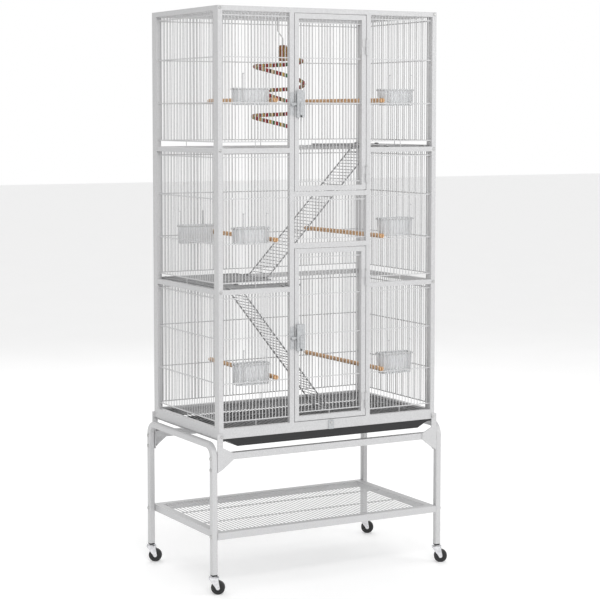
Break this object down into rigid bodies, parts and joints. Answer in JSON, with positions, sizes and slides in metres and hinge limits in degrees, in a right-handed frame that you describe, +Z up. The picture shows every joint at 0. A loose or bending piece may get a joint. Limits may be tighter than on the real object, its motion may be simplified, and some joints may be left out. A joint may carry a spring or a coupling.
{
  "type": "rolling bird cage",
  "caption": "Tall rolling wire bird cage on a tube stand, with two doors, pull-out tray, shelves, ladders, perches and a spiral rope perch.",
  "frame": {"origin": "on the floor, under the middle of the cage", "axes": "+X to the right seen from the door side, +Y to the back, +Z up"},
  "size_m": [0.846, 0.492, 1.75],
  "materials": {
    "caster_chrome": "bright plated steel",
    "coated_frame": "light grey hammered powder coat",
    "coated_wire": "light grey powder coat",
    "cup_plastic": "translucent grey plastic",
    "latch_metal": "grey powder coat",
    "perch_wood": "plain sanded dowel",
    "plug_black": "black plastic",
    "rope_cotton": "many-coloured twisted cotton",
    "tray_black": "black powder coat",
    "wheel_black": "black nylon",
    "zinc": "zinc plated"
  },
  "bodies": {
    "root": {"back_panel": "coated_frame", "base_frame": "coated_frame", "cage_bolts": "zinc", "cup_back": "cup_plastic", "cup_back_ring": "coated_wire", "cup_left_high": "cup_plastic", "cup_left_low": "cup_plastic", "cup_left_middle": "cup_plastic", "cup_right_high": "cup_plastic", "cup_right_low": "cup_plastic", "cup_right_middle": "cup_plastic", "cup_rings": "coated_wire", "floor_grate": "coated_wire", "front_panel": "coated_frame", "hinge_pins": "zinc", "latch_keepers": "latch_metal", "left_panel": "coated_frame", "leg_plugs": "plug_black", "lower_ramp": "coated_wire", "middle_shelf": "coated_wire", "perch_left_high": "perch_wood", "perch_left_low": "perch_wood", "perch_left_middle": "perch_wood", "perch_right_high": "perch_wood", "perch_right_low": "perch_wood", "perch_right_middle": "perch_wood", "right_panel": "coated_frame", "rope_end": "rope_cotton", "rope_head": "rope_cotton", "rope_hook": "zinc", "rope_perch": "rope_cotton", "stand_bolts": "zinc", "stand_front_rail": "coated_frame", "stand_rear_rail": "coated_frame", "stand_shelf": "coated_frame", "stand_side_left": "coated_frame", "stand_side_right": "coated_frame", "top_panel": "coated_frame", "tray_catch_screw": "zinc", "upper_ramp": "coated_wire", "upper_shelf": "coated_wire"},
    "tray": {"tray": "tray_black"},
    "tray_catch": {"tray_catch": "latch_metal"},
    "upper_door": {"upper_door": "coated_frame", "upper_latch_housing": "latch_metal"},
    "upper_latch_lever": {"upper_latch_lever": "latch_metal"},
    "lower_door": {"lower_door": "coated_frame", "lower_latch_housing": "latch_metal"},
    "lower_latch_lever": {"lower_latch_lever": "latch_metal"},
    "caster_fork_fl": {"caster_fork_fl": "caster_chrome"},
    "caster_wheel_fl": {"caster_wheel_fl": "wheel_black"},
    "caster_fork_fr": {"caster_fork_fr": "caster_chrome"},
    "caster_wheel_fr": {"caster_wheel_fr": "wheel_black"},
    "caster_fork_bl": {"caster_fork_bl": "caster_chrome"},
    "caster_wheel_bl": {"caster_wheel_bl": "wheel_black"},
    "caster_fork_br": {"caster_fork_br": "caster_chrome"},
    "caster_wheel_br": {"caster_wheel_br": "wheel_black"}
  },
  "joints": [
    {"name": "tray_slide", "type": "slide", "parent": "root", "child": "tray", "axis": [0, -1, 0], "range_m": [0, 0.4]},
    {"name": "tray_catch_turn", "type": "hinge", "parent": "root", "child": "tray_catch", "pos_m": [0.002, -0.2335, 0.487], "axis": [0, 1, 0], "range_deg": [-90, 90]},
    {"name": "upper_door_hinge", "type": "hinge", "parent": "root", "child": "upper_door", "pos_m": [0.126, -0.2358, 1.44175], "axis": [0, 0, 1], "range_deg": [0, 160]},
    {"name": "upper_latch_turn", "type": "hinge", "parent": "upper_door", "child": "upper_latch_lever", "pos_m": [-0.106, -0.238, 1.46267], "axis": [0, 1, 0], "range_deg": [0, 40]},
    {"name": "lower_door_hinge", "type": "hinge", "parent": "root", "child": "lower_door", "pos_m": [0.126, -0.2358, 0.73725], "axis": [0, 0, 1], "range_deg": [0, 160]},
    {"name": "lower_latch_turn", "type": "hinge", "parent": "lower_door", "child": "lower_latch_lever", "pos_m": [-0.106, -0.238, 0.75667], "axis": [0, 1, 0], "range_deg": [0, 40]},
    {"name": "caster_fl_swivel", "type": "hinge", "parent": "root", "child": "caster_fork_fl", "pos_m": [-0.398, -0.226, 0.07], "axis": [0, 0, 1], "continuous": true},
    {"name": "caster_fl_roll", "type": "hinge", "parent": "caster_fork_fl", "child": "caster_wheel_fl", "pos_m": [-0.38746, -0.23234, 0.021], "axis": [0.515, 0.8572, 0], "continuous": true},
    {"name": "caster_fr_swivel", "type": "hinge", "parent": "root", "child": "caster_fork_fr", "pos_m": [0.398, -0.226, 0.07], "axis": [0, 0, 1], "continuous": true},
    {"name": "caster_fr_roll", "type": "hinge", "parent": "caster_fork_fr", "child": "caster_wheel_fr", "pos_m": [0.40854, -0.23234, 0.021], "axis": [0.515, 0.8572, 0], "continuous": true},
    {"name": "caster_bl_swivel", "type": "hinge", "parent": "root", "child": "caster_fork_bl", "pos_m": [-0.398, 0.226, 0.07], "axis": [0, 0, 1], "continuous": true},
    {"name": "caster_bl_roll", "type": "hinge", "parent": "caster_fork_bl", "child": "caster_wheel_bl", "pos_m": [-0.38746, 0.21966, 0.021], "axis": [0.515, 0.8572, 0], "continuous": true},
    {"name": "caster_br_swivel", "type": "hinge", "parent": "root", "child": "caster_fork_br", "pos_m": [0.398, 0.226, 0.07], "axis": [0, 0, 1], "continuous": true},
    {"name": "caster_br_roll", "type": "hinge", "parent": "caster_fork_br", "child": "caster_wheel_br", "pos_m": [0.40854, 0.21966, 0.021], "axis": [0.515, 0.8572, 0], "continuous": true}
  ]
}
